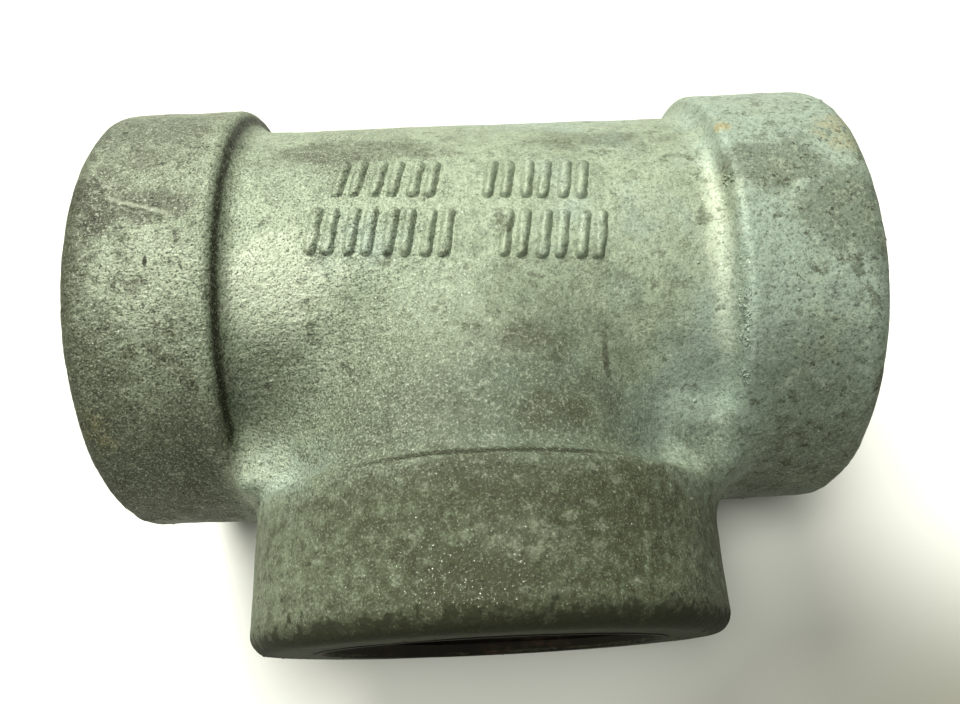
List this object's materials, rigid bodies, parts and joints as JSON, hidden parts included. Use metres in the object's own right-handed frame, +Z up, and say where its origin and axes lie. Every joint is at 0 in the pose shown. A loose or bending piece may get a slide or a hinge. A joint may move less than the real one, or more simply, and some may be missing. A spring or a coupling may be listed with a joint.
{
  "type": "pipe tee",
  "caption": "Galvanised cast-iron pipe tee: a straight run and a side branch, a thick band round each end and a taper pipe thread inside each mouth.",
  "frame": {"origin": "middle of the bounding box's bottom face, with the tee lying on its back on its three bands; the axes of the run and the branch cross 30.6 mm above it and 9.35 mm towards +Y", "axes": "+X along the run, -Y out of the branch's mouth, +Z up, square to both pipe axes"},
  "size_m": [0.0986, 0.0798, 0.0612],
  "materials": {
    "galvanised_skin": "dull hot-dip zinc over as-cast iron, grained and lightly stained",
    "tapped_thread": "cut metal, dark and lightly oiled"
  },
  "bodies": {
    "root": {"tee_casting": "galvanised_skin"}
  },
  "joints": []
}
